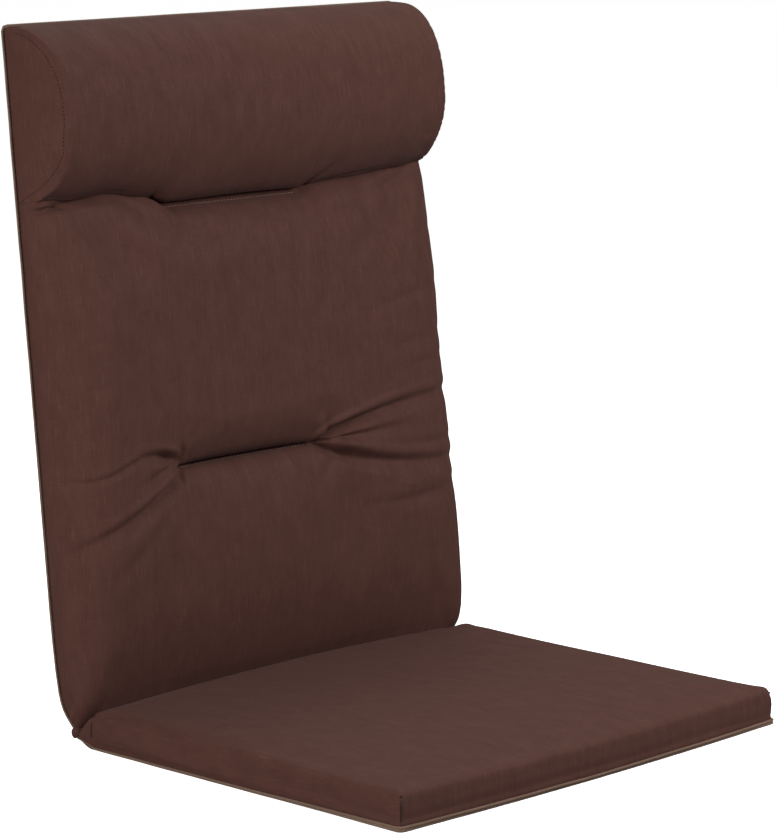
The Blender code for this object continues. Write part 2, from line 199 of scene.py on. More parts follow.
def rows_from(*groups):
    """All rows of the groups in order, each once, and one more midway between every two."""
    rows = np.unique(np.round(np.concatenate(groups), 5))
    middles = (rows[:-1] + rows[1:]) / 2
    return np.sort(np.concatenate([rows, middles]))


# How far a pad's wall stands out, up from its under side.
WALL_PROFILE = (
    # level, out
    (0, -0.0012), (1, -0.0012), (1.12, 0.0002), (1.55, 0.0008), (2, 0),
)


def wall_point(level, top):
    """Height on a pad's wall and how far it stands out. Level 1 is the seam of the tape, and 2 the top."""
    seam = np.minimum(TAPE_SPACE, MOST_TAPE_SHARE * top)
    rise = seam * np.minimum(level, 1) + (top - seam) * np.maximum(level - 1, 0)
    outward = np.interp(level, *zip(*WALL_PROFILE))
    return rise, outward


def outward_shift(x, y, low, high, outward):
    """Moves the points of the plan's edge out across it."""
    on_edge = 1e-6
    moved_x = x + np.where(HALF - abs(x) < on_edge, np.sign(x) * outward, 0)
    moved_y = y - np.where(y - low < on_edge, outward, 0)
    return moved_x, moved_y + np.where(high - y < on_edge, outward, 0)


def round_corners(x, y, low, high):
    """Turns the square corners of the plan into round ones."""
    side = PLAN_CORNER - np.minimum(HALF - abs(x), PLAN_CORNER)
    end = PLAN_CORNER - np.minimum(np.minimum(y - low, high - y), PLAN_CORNER)
    length = np.maximum(np.hypot(side, end), 1e-9)
    turn = np.where((side > 0) & (end > 0), np.maximum(side, end) / length - 1, 0)
    towards_high = np.where(high - y < y - low, 1, -1)
    return x + np.sign(x) * side * turn, y + towards_high * end * turn


SLACK_WAVES = 14
SLACK_RANGE = 4.5


def slack(x, y, seed, size):
    """Slow uneven rise and fall of loose cloth, about -1 to 1, the same each run."""
    draws = np.random.default_rng(seed)
    total = 0.0
    for _ in range(SLACK_WAVES):
        across, along = draws.normal(0, 1, 2) / size
        total = total + np.sin(across * x + along * y + draws.uniform(0, 2 * math.pi))
    return total / SLACK_RANGE


def seat_shape(x, y, level):
    """Place of each point of the seat pad, from its plan and its level on the wall."""
    held_y = np.minimum(y, DART)
    forward = (DART - held_y) / SEAT_LENGTH
    side = arc_fall(HALF - abs(x), SEAT_RIM)
    front = arc_fall(held_y + DART, SEAT_RIM)
    rear = SEAT_REAR_FALL * arc_fall((DART - held_y) / SEAT_REAR_ROLL, 1.0)
    crown = SEAT_CROWN * (1 - (x / HALF) ** 2) * (1 - (held_y / DART) ** 2)
    height = SEAT_DEEP + SEAT_FRONT_RISE * forward + crown - (side**6 + front**6 + rear**6) ** (1 / 6)

    fold = DART + FOLD_BEHIND_DART
    crease = DART + SEAT_BOW * (1 - (x / HALF) ** 2)
    behind = np.maximum(0, (y - DART) / FOLD_BEHIND_DART)
    before = y + (crease - DART) * smooth_step(1 + (y - DART) / SEAT_BOW_START)
    top_y = np.where(behind > 0, crease + (fold - crease) * behind, before)
    top_z = height + (FOLD_HEIGHT + FOLD_THICK / 2 - height) * behind**1.15
    under_z = (FOLD_HEIGHT - FOLD_THICK / 2) * behind**1.4
    rise, outward = wall_point(level, top_z - under_z)
    place_y = y + (top_y - y) * rise / (top_z - under_z)
    place_x, place_y = outward_shift(x, place_y, -DART, FAR, outward * (1 - behind))
    place_x, place_y = round_corners(place_x, place_y, -DART, FAR)
    place_x = place_x - FOLD_DRAWN_IN * behind**2 * x / HALF
    place_y = place_y - FRONT_BOW * (1 - (x / HALF) ** 2) * forward**2
    return np.stack([place_x, place_y, under_z + rise], -1)


def surface_of(shape):
    """Which points of a box lattice lie on its surface, with each side's quads facing out."""
    on_surface = np.ones(shape, bool)
    on_surface[1:-1, 1:-1, 1:-1] = False
    number = np.cumsum(on_surface).reshape(shape) - 1
    sides = []
    for axis in range(3):
        for end in (0, -1):
            faces_out = (end == -1) != (axis == 1)
            sides.append((axis, end, corners_of(number.take(end, axis), faces_out)))
    return on_surface, sides


def corners_of(side, faces_out):
    """The four corner values of every quad of one side of a lattice."""
    ring = [side[:-1, :-1], side[1:, :-1], side[1:, 1:], side[:-1, 1:]]
    if not faces_out:
        ring.reverse()
    corners = np.stack(ring, 2)
    return corners.reshape(-1, 4, *side.shape[2:])


def unit(vectors):
    return vectors / np.linalg.norm(vectors, axis=-1, keepdims=True)


def lengths_along(points, axis=0):
    """Length of cloth from the first row to each row along an axis of the lattice."""
    steps = np.linalg.norm(np.diff(points, axis=axis), axis=-1)
    first = np.zeros_like(np.take(steps, [0], axis))
    return np.concatenate([first, np.cumsum(steps, axis)], axis)


def cloth_lay(points, cloth_across, cloth_along):
    """How the cover cloth lies on a pad, in metres of cloth across and along, with and without the walls."""
    down = lengths_along(points, 2)
    down = down[:, :, -1:] - down
    full_u = np.broadcast_to(cloth_across[:, None, None], down.shape).copy()
    full_v = np.broadcast_to(cloth_along[None, :, None], down.shape).copy()
    flat_u, flat_v = full_u.copy(), full_v.copy()
    full_u[0] -= down[0]
    full_u[-1] += down[-1]
    full_v[:, 0] -= down[:, 0]
    full_v[:, -1] += down[:, -1]
    return full_u, full_v, flat_u, flat_v


def new_pad_mesh(name, points, x, y, cloth_across, cloth_along, end_panels=None):
    """Mesh of a pad from its lattice of points, with the map of its cloth, and the map of each point.

    End panels are cut apart from the cover, and have a lay of their own."""
    on_surface, sides = surface_of(points.shape[:3])
    full_u, full_v, flat_u, flat_v = cloth_lay(points, cloth_across, cloth_along)
    lays = {
        0: np.stack([full_u, flat_v], -1),
        1: np.stack([flat_u, full_v], -1),
        2: np.stack([flat_u, flat_v], -1),
    }
    if end_panels is not None:
        lays[0] = end_panels
    quads, places = [], []
    for axis, end, corners in sides:
        lay = np.stack([x, y], -1) if (axis, end) == (2, 0) else lays[axis]
        quads.append(corners)
        places.append(corners_of(lay.take(end, axis), (end == -1) != (axis == 1)))
    mesh = bpy.data.meshes.new(name)
    mesh.from_pydata(points[on_surface].tolist(), [], np.concatenate(quads).tolist())
    cloth_map = mesh.uv_layers.new(name="cloth")
    cloth_map.uv.foreach_set("vector", np.concatenate(places).astype(np.float32).ravel())
    mesh.shade_smooth()
    return mesh, np.stack([full_u, full_v], -1)[on_surface], on_surface


CLOTH_STEPS = 20


def settle(points, pinned, pressure, cap):
    """How far each point of a coarse pad moves when its cover fills out over its filling."""
    on_surface, sides = surface_of(points.shape[:3])
    mesh = bpy.data.meshes.new("filling_out")
    quads = np.concatenate([corners for axis, end, corners in sides if (axis, end) != (2, 0)])
    mesh.from_pydata(points[on_surface].tolist(), [], quads.tolist())
    cover = new_object("filling_out", mesh)
    held = cover.vertex_groups.new(name="held")
    held.add(np.nonzero(pinned[on_surface])[0].tolist(), 1.0, "REPLACE")
    cloth = cover.modifiers.new("cloth", "CLOTH")
    cloth.settings.vertex_group_mass = "held"
    cloth.settings.quality = 6
    cloth.settings.tension_stiffness = 25
    cloth.settings.compression_stiffness = 12
    cloth.settings.shear_stiffness = 6
    cloth.settings.bending_stiffness = 0.4
    cloth.settings.use_pressure = True
    cloth.settings.uniform_pressure_force = pressure
    cloth.settings.effector_weights.gravity = 0
    cloth.collision_settings.use_collision = False
    for step in range(1, CLOTH_STEPS + 1):
        bpy.context.scene.frame_set(step)
    settled = cover.evaluated_get(bpy.context.evaluated_depsgraph_get()).to_mesh()
    moved = np.zeros_like(points)
    moved[on_surface] = vectors_of(settled.vertices, "co") - points[on_surface]
    bpy.context.scene.frame_set(1)
    bpy.data.objects.remove(cover)
    far = np.linalg.norm(moved, axis=-1, keepdims=True)
    return moved * np.minimum(1, cap / np.maximum(far, 1e-9))


def filled_out(points, pinned, pressure, cap):
    """A pad's points once its cover has filled out."""
    coarse = (slice(None, None, 2),) * 3
    return points + refined(settle(points[coarse], pinned[coarse], pressure, cap))


def refined(values):
    """Values on every second row of a lattice each way, spread softly to all of its rows."""
    for axis in range(3):
        rows = np.moveaxis(values, axis, 0)
        finer = np.empty((2 * len(rows) - 1, *rows.shape[1:]))
        finer[::2] = rows
        finer[1::2] = (rows[:-1] + rows[1:]) / 2
        finer[2:-2:2] = finer[2:-2:2] / 2 + (finer[1:-3:2] + finer[3:-1:2]) / 4
        values = np.moveaxis(finer, 0, axis)
    return values


def bezier(places, t):
    t = t[:, None]
    s = 1 - t
    return places[0] * s**3 + places[1] * 3 * s * s * t + places[2] * 3 * s * t * t + places[3] * t**3


MM = 0.001
CREASE_STEPS = 28
CREST_SHARE = 0.22
CREST_AT = 1.5
CREASE_WIDENS = (0.75, 1.15)


def crease_depths(lay, creases):
    """How deep the creases draw the cloth in at each place of its lay, and how far their crests stand up.

    Each crease is a row in millimetres: the four places of a smooth curve on the cloth, the widths of its
    upper and lower bank, and its depth at its start, middle and end. Its floor is sharp and its banks are
    soft. A crest stands along its upper bank. A crease of negative depth is a plain ridge."""
    valleys = np.zeros(len(lay))
    ridges = np.zeros(len(lay))
    t = np.linspace(0, 1, CREASE_STEPS + 1)
    for crease in creases:
        crease = np.array(crease) * MM
        line = bezier(crease[:8].reshape(4, 2), t)
        upper, lower, *depths = crease[8:]
        best = np.full(len(lay), np.inf)
        at = np.zeros(len(lay))
        above = np.zeros(len(lay), bool)
        for i in range(CREASE_STEPS):
            along = line[i + 1] - line[i]
            past = lay - line[i]
            share = np.clip(past @ along / max(along @ along, 1e-12), 0, 1)
            apart = np.linalg.norm(past - share[:, None] * along, axis=1)
            closer = apart < best
            best = np.where(closer, apart, best)
            at = np.where(closer, (i + share) / CREASE_STEPS, at)
            side = (past[:, 1] * along[0] - past[:, 0] * along[1]) * np.sign(along[0]) > 0
            above = np.where(closer, side, above)
        width = np.where(above, upper, lower) * np.interp(at, [0, 1], CREASE_WIDENS)
        deep = np.interp(at, [0, 0.5, 1], depths)
        bank = np.clip(1 - best / width, 0, 1)
        crest = np.clip(1 - abs(best / width - CREST_AT), 0, 1) * above
        valleys = np.maximum(valleys, deep * (0.5 * bank**1.5 + 0.5 * smooth_step(bank)))
        raised = np.maximum(-deep * smooth_step(bank), CREST_SHARE * deep * smooth_step(crest))
        ridges = np.maximum(ridges, raised)
    return valleys, ridges


def vectors_of(items, name):
    """Every vertex's place or every normal, one row each."""
    values = np.empty(len(items) * 3)
    items.foreach_get(name, values)
    return values.reshape(-1, 3)


def push_in(mesh, depth, outwards=None):
    """Moves every point of a mesh in by the depth given for it, along its normal or the way given."""
    if outwards is None:
        outwards = vectors_of(mesh.vertex_normals, "vector")
    moved = vectors_of(mesh.vertices, "co") - outwards * depth[:, None]
    mesh.vertices.foreach_set("co", moved.ravel())
    mesh.update()


def seat_creases():
    """Pleats gathered into the fold behind each rear dart."""
    creases = []
    half, dart = HALF / MM, DART / MM
    for side in (-1, 1):
        for behind, width, depth in ((10.5, 2.2, 0.8), (15, 2.2, 1.4), (18.5, 2, 1.2)):
            low = (side * (half + 30), dart + behind)
            high = (side * (half + 4), dart + behind - 4)
            creases.append((*low, *low, *high, *high, width, width, depth, depth, 0))
    return creases


SEAT_ROWS_APART = 0.0076
SEAT_UNEVEN = 0.0007
side_rim = rim_rows(SEAT_RIM, 3)
inner = HALF - SEAT_RIM
seat_across = rows_from(side_rim - HALF, rows_between(-inner, inner, SEAT_ROWS_APART), HALF - side_rim)
seat_along = rows_from(
    side_rim - DART,
    rows_between(SEAT_RIM - DART, DART - 0.012, SEAT_ROWS_APART),
    rows_between(DART - 0.012, DART, 0.003),
    rows_between(DART, DART + FOLD_BEHIND_DART, 0.0026),
)
seat_levels = np.interp(np.linspace(0, 14, 15), [0, 2, 14], [0, 1, 2])
x, y, level = np.meshgrid(seat_across, seat_along, seat_levels, indexing="ij")
seat_points = seat_shape(x, y, level)

pinned = (level <= 1) | (y > DART - 0.002)
seat_points = filled_out(seat_points, pinned, pressure=2.5, cap=0.0030)

middle = len(seat_across) // 2
cloth_across = lengths_along(seat_points[:, len(seat_along) // 2, -1])
cloth_along = lengths_along(seat_points[middle, :, -1]) - DART
seat_mesh, seat_lay, on_surface = new_pad_mesh(
    "seat_cover", seat_points, x, y, cloth_across - cloth_across[middle], cloth_along
)
loose = (smooth_step((level - 1) / 0.3) * smooth_step((DART + 0.02 - y) / 0.05))[on_surface]
unevenness = -SEAT_UNEVEN * slack(*seat_lay.T, seed=5, size=0.055) * loose
valleys, ridges = crease_depths(seat_lay, seat_creases())
push_in(seat_mesh, unevenness + (valleys - ridges) * (level > 1)[on_surface])


def dart_places():
    """Where each corner's dart runs up the seat's wall, and which way the wall faces there."""
    corner = PLAN_CORNER * (1 - math.sqrt(0.5))
    slant = math.sqrt(0.5)
    places = []
    for side in (-1, 1):
        places.append((side * (HALF - corner), -DART + corner, side * slant, -slant))
        places.append((side * HALF, DART, side, 0))
    return places


DART_GROOVE = (0.0006, 0.0035)
DART_TOP = 0.0310
DIMPLE_DEEP = 0.0016
DIMPLE_SIZE = (0.0042, 0.0036)


def dart_depth(mesh):
    """A thin groove up each dart, and the dimple where the dart ends at the top."""
    groove_deep, groove_wide = DART_GROOVE
    x, y, z = vectors_of(mesh.vertices, "co").T
    depth = np.zeros(len(x))
    for across, along, _, _ in dart_places():
        apart = np.hypot(x - across, y - along)
        groove = groove_deep * np.clip(1 - apart / groove_wide, 0, 1) * smooth_step((z - 0.006) / 0.004)
        dimple = np.exp(-((apart / DIMPLE_SIZE[0]) ** 2) - ((z - DART_TOP) / DIMPLE_SIZE[1]) ** 2)
        depth = np.maximum(depth, np.maximum(groove * (z < DART_TOP), DIMPLE_DEEP * dimple))
    return depth


push_in(seat_mesh, dart_depth(seat_mesh))


def new_group(name, inputs, outputs):
    """A shader group with these sockets, each given as its name and its kind."""
    group = bpy.data.node_groups.new(name, "ShaderNodeTree")
    for way, sockets in (("INPUT", inputs), ("OUTPUT", outputs)):
        for label, kind in sockets:
            group.interface.new_socket(label, in_out=way, socket_type="NodeSocket" + kind)
    return group


def make_weave_group():
    """Plain weave with slubs: threads that swell and thin along their run, lighter where they swell."""
    colours = (("Ground", "Color"), ("Slub", "Color"))
    group = new_group(
        "slubbed_weave",
        (("Lay", "Vector"), *colours, ("Thread Width", "Float"), ("Slub Share", "Float")),
        (("Color", "Color"), ("Roughness", "Float"), ("Height", "Float")),
    )
    given = add_node(group, "NodeGroupInput").outputs
    result = add_node(group, "NodeGroupOutput").inputs

    def streaks(stretch, detail):
        """Noise drawn out along one way of the cloth, in metres of cloth."""
        drawn = add_node(group, "ShaderNodeVectorMath", given["Lay"], stretch, operation="MULTIPLY")
        settings = {"Vector": drawn.outputs[0], "Scale": 1.0, "Detail": detail, "Roughness": 0.6}
        return add_node(group, "ShaderNodeTexNoise", **settings).outputs["Fac"]

    def weighed(*parts):
        """Sum of noises about their middle, each with its weight."""
        total = 0.0
        for noise, weight in parts:
            centred = worked_out(group, "MULTIPLY_ADD", noise, weight, -0.5 * weight)
            total = worked_out(group, "ADD", total, centred)
        return total

    warp = streaks((640, 55, 1), 2.0)
    bands = streaks((110, 14, 1), 3.0)
    weft = streaks((90, 560, 1), 1.0)
    blotches = streaks((48, 36, 1), 4.0)
    sparse = streaks((480, 44, 1), 1.0)
    slubs = add_node(group, "ShaderNodeMapRange", sparse, 0.60, 0.74, 0.0, 0.45).outputs[0]
    mottle = weighed((warp, 0.75), (bands, 0.55), (weft, 0.40), (blotches, 0.85))
    thicker = worked_out(group, "ADD", mottle, slubs)
    share = worked_out(group, "MULTIPLY_ADD", thicker, given["Slub Share"], 0.46, use_clamp=True)
    feed(group, result["Color"], mixed(group, share, given["Ground"], given["Slub"]))
    rough = add_node(group, "ShaderNodeMapRange", share, 0.0, 1.0, 0.88, 0.70).outputs[0]
    feed(group, result["Roughness"], rough)

    # Each thread rises and falls once over every two of the threads that cross it.
    waves = []
    for cloth_axis in add_node(group, "ShaderNodeSeparateXYZ", given["Lay"]).outputs[:2]:
        threads = worked_out(group, "DIVIDE", cloth_axis, given["Thread Width"])
        waves.append(worked_out(group, "SINE", worked_out(group, "MULTIPLY", threads, math.pi)))
    over_under = worked_out(group, "MULTIPLY", *waves)
    thick = weighed((warp, 1.3), (weft, 0.7))
    feed(group, result["Height"], worked_out(group, "MULTIPLY_ADD", over_under, 0.35, thick))
    return group


weave = make_weave_group()


def cloth_material(name, ground, slub, thread_width, slub_share, sheen, relief):
    """Woven cloth of these two colours. The relief is how far its threads stand up, in metres."""
    fuzz = {"Sheen Weight": sheen, "Sheen Roughness": 0.5, "Sheen Tint": (0.95, 0.80, 0.75, 1)}
    material, tree, shader = new_material(name, {**fuzz, "Specular IOR Level": 0.15})
    lay = add_node(tree, "ShaderNodeUVMap", uv_map="cloth").outputs["UV"]
    colours = (*ground, 1), (*slub, 1)
    woven = add_node(tree, "ShaderNodeGroup", node_tree=weave)
    for socket, value in zip(woven.inputs, (lay, *colours, thread_width, slub_share)):
        feed(tree, socket, value)
    raised = {"Strength": 1.0, "Distance": relief, "Height": woven.outputs["Height"]}
    feed(tree, shader["Base Color"], woven.outputs["Color"])
    feed(tree, shader["Roughness"], woven.outputs["Roughness"])
    feed(tree, shader["Normal"], add_node(tree, "ShaderNodeBump", **raised).outputs["Normal"])
    return material


BROWN_GROUND = (0.064, 0.0240, 0.0180)
BROWN_SLUB = (0.098, 0.0400, 0.0310)
brown_cloth = cloth_material(
    "brown_cloth", BROWN_GROUND, BROWN_SLUB, thread_width=0.00075, slub_share=0.9, sheen=0.03, relief=0.00008
)
seat_mesh.materials.append(brown_cloth)
seat_cover = new_object("seat_cover", seat_mesh)
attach(seat_cover, "root")
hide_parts("seat_pad")


# Threads. Each corner of the seat is closed with one seam, sewn from inside, and its dark line up the wall
# is painted shade: a near-black thread for the shadow in the seam, and a thick last stitch under the dimple.

TUBE_SIDES = 6


def tube_mesh(name, rings):
    """Closed tubes, each given as a list of (middle, first way across, second way across)."""
    turns = np.arange(TUBE_SIDES) * 2 * math.pi / TUBE_SIDES
    points, faces = [], []
    for tube in rings:
        first = len(points)
        for middle, across, over in tube:
            points.extend(middle + across * math.cos(turn) + over * math.sin(turn) for turn in turns)
        for ring in range(len(tube) - 1):
            for i in range(TUBE_SIDES):
                here, there = first + ring * TUBE_SIDES, first + (ring + 1) * TUBE_SIDES
                j = (i + 1) % TUBE_SIDES
                faces.append((here + i, here + j, there + j, there + i))
        faces.append(tuple(range(first + TUBE_SIDES - 1, first - 1, -1)))
        last = len(points) - TUBE_SIDES
        faces.append(tuple(range(last, len(points))))
    mesh = bpy.data.meshes.new(name)
    mesh.from_pydata([tuple(point) for point in points], [], faces)
    mesh.shade_smooth()
    return mesh


def stitch_rings(line, outs, pitch, gap, thick, lift):
    """Stitches along a line on the cloth: each is a short thread that dives into it at both ends."""
    run = lengths_along(line)

    def at(values, distance):
        return np.array([np.interp(distance, run, values[:, i]) for i in range(3)])

    stitches = []
    for n in range(int(run[-1] / pitch)):
        start, end = (n + gap / 2) * pitch, (n + 1 - gap / 2) * pitch
        along = unit(at(line, end) - at(line, start))
        stitch = []
        for share in np.linspace(0, 1, 5):
            out = at(outs, start + (end - start) * share)
            side = unit(np.cross(along, out))
            over = np.cross(side, along)
            bulge = 1 - (2 * share - 1) ** 2
            middle = at(line, start + (end - start) * share) + over * (lift * bulge - thick * (1 - bulge))
            radius = thick * (0.45 + 0.55 * bulge)
            stitch.append((middle, side * radius, over * radius))
        stitches.append(stitch)
    return stitches


def thread_material(name, colour, rough):
    """Twisted thread: its plies turn round it as fine slanting ridges, with painted shade and highlight on
    them.
    """
    material, tree, shader = new_material(name, {"Roughness": rough})
    where = add_node(tree, "ShaderNodeTexCoord").outputs["Object"]
    wave = {"Scale": 900.0, "Distortion": 1.5, "bands_direction": "DIAGONAL"}
    plies = add_node(tree, "ShaderNodeTexWave", where, **wave).outputs["Fac"]
    # Painted shade and highlight: the colour falls to 0.7 of itself in the grooves between plies and rises to
    # 1.25 on their crowns.
    deep, pale = (*(0.7 * c for c in colour), 1), (*(1.25 * c for c in colour), 1)
    raised = {"Strength": 0.6, "Distance": 0.00006, "Height": plies}
    feed(tree, shader["Base Color"], mixed(tree, plies, deep, pale))
    feed(tree, shader["Normal"], add_node(tree, "ShaderNodeBump", **raised).outputs["Normal"])
    return material


def skin_of(mesh):
    """The surface of a finished cover, to lay threads on."""
    points = [vertex.co for vertex in mesh.vertices]
    return BVHTree.FromPolygons(points, [tuple(face.vertices) for face in mesh.polygons])


def laid_on(skin, starts, way):
    """Where lines from these starts first meet the cloth, and which way it faces there."""
    met = [skin.ray_cast(Vector(start), Vector(way)) for start in starts]
    met = [(place, normal) for place, normal, _, _ in met if place is not None]
    return np.array([place for place, _ in met]), np.array([normal for _, normal in met])


def add_threads(name, rings, material):
    threads = new_object(name, tube_mesh(name, rings))
    threads.data.materials.append(material)
    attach(threads, "root")


# Painted shade: these near-black threads stand for the shadow in each closed dart seam and under its dimple.
DART_SEAM_SHADE_LINE = {"pitch": 0.0240, "gap": 0.0, "thick": 0.00055, "lift": 0.00055}
DART_DIMPLE_SHADE = {"pitch": 0.0032, "gap": 0.0, "thick": 0.00095, "lift": 0.00030}
seat_skin = skin_of(seat_mesh)
dart_seam_shade_rings = []
for across, along, way_x, way_y in dart_places():
    heights = np.linspace(0.0066, 0.0312, 16)
    starts = [(across + 0.05 * way_x, along + 0.05 * way_y, z) for z in heights]
    line, outs = laid_on(seat_skin, starts, (-way_x, -way_y, 0))
    dart_seam_shade_rings += stitch_rings(line, outs, **DART_SEAM_SHADE_LINE)
    dart_seam_shade_rings += stitch_rings(line[-3:], outs[-3:], **DART_DIMPLE_SHADE)
# Near-black thread: real topstitching on the D-shaped panels, and painted seam shade on the darts.
dark_thread_and_seam_shade = thread_material("dark_thread_and_seam_shade", (0.012, 0.0045, 0.0035), rough=0.8)
add_threads("dart_seam_shade_lines", dart_seam_shade_rings, dark_thread_and_seam_shade)


# Back pad. The same cover and filling, thicker, with a soft rounded edge down each side. A short line sewn
# through it at mid height draws its front down to the under panel, and folds fan out from the line's ends.

BACK_FOOT = 0.2319
LEAN = math.radians(6.15)
BACK_DEEP = 0.053
HEAD_SEAM = 0.4845
TOP_END = 0.6405
TUFT_AT = 0.2325
TUFT_LINE = (-0.027, 0.087)
ROLL_LINE = (-0.016, 0.088)
CREASE_DEEP = 0.0245
CREASE_DRAWN = 0.0105
LINE_TAPER = 0.020
D_PANEL_RISE = 0.0045
D_PANEL_START = 0.210
D_PANEL_REACH = 0.036
SEAM_FULL_AT = 0.030
SEAM_REACH = 0.050
BACK_RIM = 0.028
BACK_CROWN = 0.004
BACK_TOP_ROLL = 0.036
BACK_TOP_FALL = 0.009
BACK_TOP_FALL_REACH = 0.130
BACK_UNEVEN = 0.0008
LEFT_AT_TUFT = 0.017
LEFT_AT_TUFT_ENDS = 0.030
TUFT_ABOVE = 0.030
TUFT_BELOW = 0.026
TUFT_END = 0.006
TUFT_TAPER_LEFT = 0.026
TUFT_TAPER_RIGHT = 0.040

# How far the seam under the head roll hangs below HEAD_SEAM, in millimetres. It is sewn lowest along the
# short line, and the two sides of it don't hang alike.
SEAM_HANG = (
    # across, down
    (-250, 1.5), (-235, 1), (-218, -0.5), (-192, -3), (-165, -3), (-144, 1.2), (-116, 5.5),
    (-107, 9.3), (-98, 14.5), (-94, 14.5), (62, 14.5), (66, 14.5), (72, 14), (84, 10),
    (109, 7.2), (149, 6), (175, 3.8), (198, 2), (220, 1.4), (250, 1.4),
)

# How far each side of the back's front stands out past the under panel.
SIDE_BULGE = (
    # up, out
    (0.0085, 0.0000),
    (0.0300, 0.0050),
    (0.0600, 0.0066),
    (0.2000, 0.0066),
    (0.2600, 0.0034),
    (0.3400, 0.0010),
    (0.4200, -0.0015),
    (0.4845, -0.0015),
)

# How the lower end of the back narrows to the fold.
FOLD_ROWS = (
    # up, outer side, front at mid width, front at the sides
    (0.0085, 0.0170, 0.0203, 0.0203),
    (0.0150, 0.0125, 0.0205, 0.0295),
    (0.0220, 0.0085, 0.0207, 0.0370),
    (0.0300, 0.0060, 0.0215, 0.0440),
    (0.0430, 0.0036, 0.0300, 0.0495),
    (0.0620, 0.0018, 0.0390, 0.0525),
    (0.0850, 0.0006, 0.0458, 0.0528),
    (0.1150, 0.0000, 0.0507, 0.0530),
    (0.1500, 0.0000, 0.0530, 0.0530),
)
FOLD_END = FOLD_ROWS[0][0]


def up_the_back(points):
    """Turns points of across, up the back and out of its under panel into places."""
    x, up, out = np.moveaxis(points, -1, 0)
    y = BACK_FOOT + up * math.sin(LEAN) - out * math.cos(LEAN)
    return np.stack([x, y, up * math.cos(LEAN) + out * math.sin(LEAN)], -1)


def off_the_back(points):
    """The reverse of up_the_back: how far up the back and out of its under panel these places are."""
    y, z = points[..., 1] - BACK_FOOT, points[..., 2]
    return y * math.sin(LEAN) + z * math.cos(LEAN), z * math.sin(LEAN) - y * math.cos(LEAN)


def columns(table):
    return [np.array(column, float) for column in zip(*table)]


def smooth_between(at, places, values):
    """A smooth curve through the values given at these places, level at its end."""
    slopes = np.gradient(values, places)
    slopes[-1] = 0
    i = np.clip(np.searchsorted(places, at) - 1, 0, len(places) - 2)
    step = places[i + 1] - places[i]
    t = np.clip((at - places[i]) / step, 0, 1)
    rise = t * t * (3 - 2 * t)
    bend = step * t * (1 - t) * (slopes[i] * (1 - t) - slopes[i + 1] * t)
    return values[i] + (values[i + 1] - values[i]) * rise + bend


def along_line(x, line, taper):
    """1 beside a short sewn line, falling to 0 over the taper past its ends."""
    middle, half = line
    return 1 - smooth_step((abs(x - middle) - half) / taper)


def seam_shift(x, rise):
    """How far the seam under the head roll lies from HEAD_SEAM, at this distance out."""
    side = smooth_step((abs(x) - D_PANEL_START) / D_PANEL_REACH)
    places, hangs = (MM * column for column in columns(SEAM_HANG))
    reach = np.minimum(rise / SEAM_FULL_AT, 1)
    return D_PANEL_RISE * side * reach**2 - smooth_between(x, places, hangs) * reach


def seam_deep(x):
    return CREASE_DEEP - CREASE_DRAWN * along_line(x, ROLL_LINE, LINE_TAPER)


def near_seam(distance):
    return smooth_step(1 - distance / SEAM_REACH)


def tuft_depth(x, y):
    """The channel where the front is sewn down: a sharp valley, then a soft hollow past its ends."""
    near_line = along_line(x, TUFT_LINE, np.where(x < 0, TUFT_TAPER_LEFT, TUFT_TAPER_RIGHT))
    half_width = np.where(y > TUFT_AT, TUFT_ABOVE, TUFT_BELOW)
    half_width = half_width * (0.5 + 0.5 * near_line)
    apart = np.minimum(1, abs(y - TUFT_AT) / half_width)
    valley = arc_fall(apart, 1.0) ** 1.15
    hollow = 0.55 * (1 - apart**2) ** 2
    sewn = along_line(x, TUFT_LINE, TUFT_END)
    across = sewn * valley + (1 - sewn) * hollow
    towards_end = np.minimum(1, abs(x - TUFT_LINE[0]) / TUFT_LINE[1]) ** 3
    left = LEFT_AT_TUFT + (LEFT_AT_TUFT_ENDS - LEFT_AT_TUFT) * towards_end
    return (BACK_DEEP - left) * across * near_line


def back_shape(x, y, level):
    ups, outers, middles, sides = columns(FOLD_ROWS)
    outer = smooth_between(y, ups, outers)
    middle = smooth_between(y, ups, middles)
    front = middle + (smooth_between(y, ups, sides) - middle) * abs(x / HALF) ** 3
    full = np.minimum(1, front / BACK_DEEP)
    below_seam = HEAD_SEAM - y
    crown = BACK_CROWN * (1 - (x / HALF) ** 2) * smooth_step((y - 0.06) / 0.10)
    side = arc_fall(HALF - abs(x), BACK_RIM) * full**1.5
    sloped = BACK_TOP_FALL * smooth_step(1 - below_seam / BACK_TOP_FALL_REACH) * (x / HALF) ** 2
    top = front + crown - side - sloped - tuft_depth(x, y) * full
    top = top + (seam_deep(x) - top) * arc_fall(below_seam / BACK_TOP_ROLL, 1.0)

    rise, outward = wall_point(level, top - outer)
    place_y = y + seam_shift(x, rise) * near_seam(below_seam)
    place_y = place_y - 0.0004 * smooth_step(1 - below_seam / 0.012)
    place_x, _ = outward_shift(x, y, -FAR, FAR, outward * front / BACK_DEEP)
    narrow = 1 - smooth_step((y - FOLD_END) / 0.030)
    place_x = place_x - FOLD_DRAWN_IN * narrow * x / HALF
    heights, bulges = columns(SIDE_BULGE)
    place_x = place_x + smooth_between(y, heights, bulges) * x / HALF * rise / BACK_DEEP
    return up_the_back(np.stack([place_x, place_y, outer + rise], -1))


def round_rim(x, radius):
    """Length of cloth from the middle to a place on a pad's rounded edge."""
    return HALF - radius + radius * np.arcsin(np.clip((x - HALF + radius) / radius, 0, 1))


